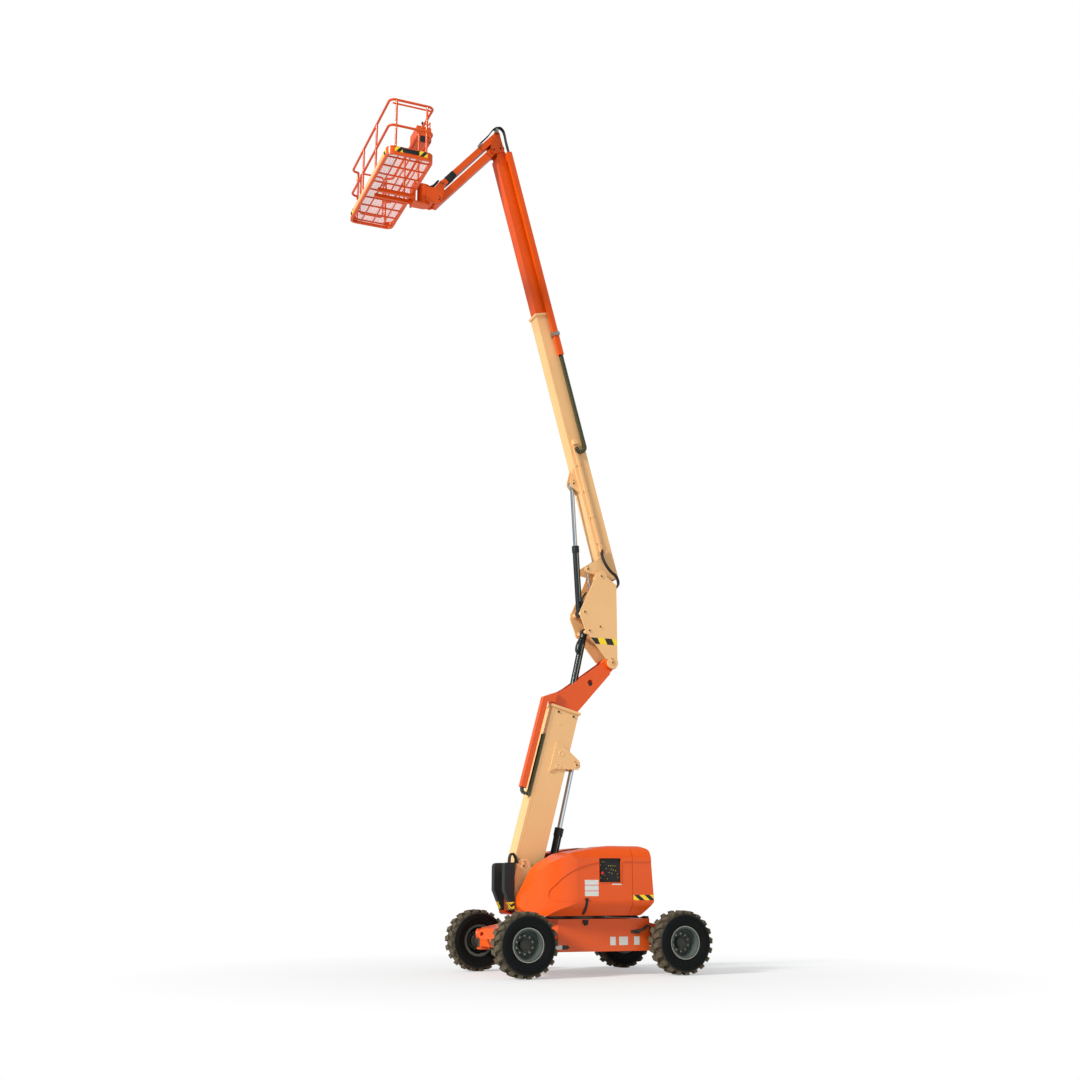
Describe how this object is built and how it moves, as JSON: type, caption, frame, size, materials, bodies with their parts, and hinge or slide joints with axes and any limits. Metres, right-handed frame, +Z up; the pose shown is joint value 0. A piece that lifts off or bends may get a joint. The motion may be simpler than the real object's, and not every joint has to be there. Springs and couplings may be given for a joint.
{
  "type": "articulating boom lift",
  "caption": "Self-propelled articulating boom lift: wheeled chassis, swinging turntable with hoods, tower boom, upright, telescopic main boom, jib and railed work platform.",
  "frame": {"origin": "on the ground under the swing axis, midway between the axles", "axes": "+X forward, +Y to the left, +Z up"},
  "size_m": [5.3649, 2.4479, 13.8898],
  "materials": {
    "orange_paint": "gloss orange enamel",
    "beige_paint": "satin beige enamel",
    "dark_paint": "satin black enamel",
    "rod_chrome": "hard chrome",
    "grey_paint": "satin grey enamel",
    "tyre_rubber": "moulded rubber",
    "black_plastic": "fine grain",
    "bare_steel": "zinc plated",
    "bearing_steel": "oiled",
    "hose_rubber": "smooth cover",
    "engine_iron": "as cast, painted"
  },
  "bodies": {
    "chassis": {"chassis_frame": "orange_paint", "swing_bearing": "bearing_steel", "front_axle": "orange_paint", "rear_axle": "orange_paint", "steer_cylinder": "dark_paint"},
    "steer_rod": {"steer_rod": "rod_chrome"},
    "knuckle_left": {"knuckle_left": "dark_paint"},
    "knuckle_right": {"knuckle_right": "dark_paint"},
    "wheel_front_left": {"rim_front_left": "grey_paint", "tyre_front_left": "tyre_rubber"},
    "wheel_front_right": {"rim_front_right": "grey_paint", "tyre_front_right": "tyre_rubber"},
    "wheel_rear_left": {"rim_rear_left": "grey_paint", "tyre_rear_left": "tyre_rubber"},
    "wheel_rear_right": {"rim_rear_right": "grey_paint", "tyre_rear_right": "tyre_rubber"},
    "turntable": {"turntable_frame": "beige_paint", "rear_counterweight": "orange_paint", "front_boxes": "black_plastic", "engine_block": "engine_iron", "fluid_tanks": "black_plastic", "control_panel": "black_plastic"},
    "hood_left": {"hood_left": "orange_paint"},
    "hood_right": {"hood_right": "orange_paint"},
    "tower_base": {"tower_base": "beige_paint", "tower_hose_tray": "bare_steel"},
    "tower_lift_barrel": {"tower_lift_barrel": "dark_paint"},
    "tower_lift_rod": {"tower_lift_rod": "rod_chrome"},
    "tower_fly": {"tower_fly": "orange_paint", "hose_arm": "orange_paint"},
    "tower_hose_loop": {"tower_hose_loop": "hose_rubber"},
    "upright": {"upright": "beige_paint"},
    "upright_level_barrel": {"upright_level_barrel": "dark_paint"},
    "upright_level_rod": {"upright_level_rod": "rod_chrome"},
    "main_base": {"main_boom_base": "beige_paint", "hose_conduit": "beige_paint", "push_guide": "bare_steel"},
    "main_lift_barrel": {"main_lift_barrel": "dark_paint"},
    "main_lift_rod": {"main_lift_rod": "rod_chrome"},
    "boom_level_barrel": {"boom_level_barrel": "dark_paint"},
    "boom_level_rod": {"boom_level_rod": "rod_chrome"},
    "main_fly": {"main_boom_fly": "orange_paint", "push_tube": "orange_paint"},
    "boom_hose_loop": {"boom_hose_loop": "hose_rubber"},
    "jib_head": {"jib_head": "orange_paint"},
    "jib_lower": {"jib_lower_link": "orange_paint"},
    "jib_upper": {"jib_upper_link": "orange_paint"},
    "support": {"platform_support": "orange_paint", "platform_rotator": "orange_paint"},
    "platform": {"platform_bracket": "orange_paint", "platform_frame": "orange_paint", "platform_floor": "bare_steel", "platform_console": "orange_paint"},
    "gate": {"platform_gate": "orange_paint"}
  },
  "joints": [
    {"name": "steer_left", "type": "hinge", "parent": "chassis", "child": "knuckle_left", "pos_m": [1.245, 0.76, 0.46], "axis": [0, 0, 1], "range_deg": [-35, 35]},
    {"name": "steer_right", "type": "hinge", "parent": "chassis", "child": "knuckle_right", "pos_m": [1.245, -0.76, 0.46], "axis": [0, 0, 1], "range_deg": [-35.02, 35.02]},
    {"name": "steer_rod_slide", "type": "slide", "parent": "chassis", "child": "steer_rod", "axis": [0, 1, 0], "range_m": [-0.10948, 0.10948]},
    {"name": "wheel_front_left_spin", "type": "hinge", "parent": "knuckle_left", "child": "wheel_front_left", "pos_m": [1.245, 1.03, 0.46], "axis": [0, 1, 0], "continuous": true},
    {"name": "wheel_rear_left_spin", "type": "hinge", "parent": "chassis", "child": "wheel_rear_left", "pos_m": [-1.245, 1.03, 0.46], "axis": [0, 1, 0], "continuous": true},
    {"name": "wheel_front_right_spin", "type": "hinge", "parent": "knuckle_right", "child": "wheel_front_right", "pos_m": [1.245, -1.03, 0.46], "axis": [0, 1, 0], "continuous": true},
    {"name": "wheel_rear_right_spin", "type": "hinge", "parent": "chassis", "child": "wheel_rear_right", "pos_m": [-1.245, -1.03, 0.46], "axis": [0, 1, 0], "continuous": true},
    {"name": "swing", "type": "hinge", "parent": "chassis", "child": "turntable", "pos_m": [0, 0, 0.85], "axis": [0, 0, 1], "range_deg": [-178.5, 178.5]},
    {"name": "hood_left_hinge", "type": "hinge", "parent": "turntable", "child": "hood_left", "pos_m": [-0.3, 0.262, 1.834], "axis": [1, 0, 0], "range_deg": [0, 50]},
    {"name": "hood_right_hinge", "type": "hinge", "parent": "turntable", "child": "hood_right", "pos_m": [-0.3, -0.262, 1.834], "axis": [-1, 0, 0], "range_deg": [0, 50]},
    {"name": "tower_lift", "type": "hinge", "parent": "turntable", "child": "tower_base", "pos_m": [0.945, 0, 1.559], "axis": [0, 1, 0], "range_deg": [-75, 0]},
    {"name": "tower_lift_barrel_turn", "type": "hinge", "parent": "turntable", "child": "tower_lift_barrel", "pos_m": [0.54, 0, 0.965], "axis": [0, 1, 0], "range_deg": [-71.71, 0]},
    {"name": "tower_lift_rod_slide", "type": "slide", "parent": "tower_lift_barrel", "child": "tower_lift_rod", "axis": [-0.2291, 0, 0.9734], "range_m": [-0.87033, 0]},
    {"name": "tower_telescope", "type": "slide", "parent": "tower_base", "child": "tower_fly", "axis": [-0.2588, 0, 0.9659], "range_m": [0, 1.6]},
    {"name": "tower_hose_loop_slide", "type": "slide", "parent": "tower_base", "child": "tower_hose_loop", "axis": [-0.2588, 0, 0.9659], "range_m": [0, 0.8005]},
    {"name": "upright_level", "type": "hinge", "parent": "tower_fly", "child": "upright", "pos_m": [-0.584, 0, 4.734], "axis": [0, 1, 0], "range_deg": [0, 75.02]},
    {"name": "upright_level_barrel_turn", "type": "hinge", "parent": "upright", "child": "upright_level_barrel", "pos_m": [-0.18, 0, 5.231], "axis": [0, 1, 0], "range_deg": [-74.65, 0]},
    {"name": "upright_level_rod_slide", "type": "slide", "parent": "upright_level_barrel", "child": "upright_level_rod", "axis": [0.2213, 0, -0.9752], "range_m": [-0.78024, 0]},
    {"name": "main_lift", "type": "hinge", "parent": "upright", "child": "main_base", "pos_m": [-0.403, 0, 6.143], "axis": [0, -1, 0], "range_deg": [-75, 0]},
    {"name": "main_lift_barrel_turn", "type": "hinge", "parent": "upright", "child": "main_lift_barrel", "pos_m": [-0.1, 0, 5.53], "axis": [0, -1, 0], "range_deg": [-62.07, 0]},
    {"name": "main_lift_rod_slide", "type": "slide", "parent": "main_lift_barrel", "child": "main_lift_rod", "axis": [0.0549, 0, 0.9985], "range_m": [-0.72959, 0]},
    {"name": "boom_level_barrel_turn", "type": "hinge", "parent": "upright", "child": "boom_level_barrel", "pos_m": [-0.369, 0.097, 5.305], "axis": [0, -1, 0], "range_deg": [-0.373, 0]},
    {"name": "boom_level_rod_slide", "type": "slide", "parent": "boom_level_barrel", "child": "boom_level_rod", "axis": [0.1875, 0, 0.9823], "range_m": [-0.29604, 0]},
    {"name": "main_telescope", "type": "slide", "parent": "main_base", "child": "main_fly", "axis": [0.2588, 0, 0.9659], "range_m": [-2.6, 0.1]},
    {"name": "boom_hose_loop_slide", "type": "slide", "parent": "main_base", "child": "boom_hose_loop", "axis": [0.2588, 0, 0.9659], "range_m": [-1.3005, 0.0505]},
    {"name": "jib_head_level", "type": "hinge", "parent": "main_fly", "child": "jib_head", "pos_m": [1.37636, 0, 13.57573], "axis": [0, -1, 0], "range_deg": [0, 75.02]},
    {"name": "jib_lift", "type": "hinge", "parent": "jib_head", "child": "jib_lower", "pos_m": [1.5, 0, 13.52], "axis": [0, -1, 0], "range_deg": [-5, 125]},
    {"name": "jib_upper_turn", "type": "hinge", "parent": "jib_head", "child": "jib_upper", "pos_m": [1.44443, 0, 13.83514], "axis": [0, -1, 0], "range_deg": [-5.02, 125.02]},
    {"name": "platform_level", "type": "hinge", "parent": "jib_lower", "child": "support", "pos_m": [2.46418, 0, 12.37093], "axis": [0, -1, 0], "range_deg": [-125.02, 5.02]},
    {"name": "platform_rotate", "type": "hinge", "parent": "support", "child": "platform", "pos_m": [2.70018, 0, 12.445], "axis": [0, 0, 1], "range_deg": [-90, 90]},
    {"name": "gate_hinge", "type": "hinge", "parent": "platform", "child": "gate", "pos_m": [3.53018, -1.2, 13], "axis": [0, 0, -1], "range_deg": [0, 90]}
  ],
  "couplings": [
    {"joint": "steer_right", "follows": "steer_left", "ratio": 1},
    {"joint": "steer_rod_slide", "follows": "steer_left", "m_per_rad": -0.1784},
    {"joint": "tower_lift_barrel_turn", "follows": "tower_lift", "ratio": 0.95586},
    {"joint": "tower_lift_rod_slide", "follows": "tower_lift", "m_per_rad": 0.6645},
    {"joint": "tower_hose_loop_slide", "follows": "tower_telescope", "ratio": 0.5},
    {"joint": "upright_level", "follows": "tower_lift", "ratio": -1},
    {"joint": "upright_level_barrel_turn", "follows": "tower_lift", "ratio": 0.99501},
    {"joint": "upright_level_rod_slide", "follows": "tower_lift", "m_per_rad": 0.59568},
    {"joint": "main_lift_barrel_turn", "follows": "main_lift", "ratio": 0.8273},
    {"joint": "main_lift_rod_slide", "follows": "main_lift", "m_per_rad": 0.55698},
    {"joint": "boom_level_barrel_turn", "follows": "main_lift", "ratio": 0.0047071},
    {"joint": "boom_level_rod_slide", "follows": "main_lift", "m_per_rad": 0.22577},
    {"joint": "boom_hose_loop_slide", "follows": "main_telescope", "ratio": 0.5},
    {"joint": "jib_head_level", "follows": "main_lift", "ratio": -1},
    {"joint": "jib_upper_turn", "follows": "jib_lift", "ratio": 1},
    {"joint": "platform_level", "follows": "jib_lift", "ratio": -1}
  ]
}
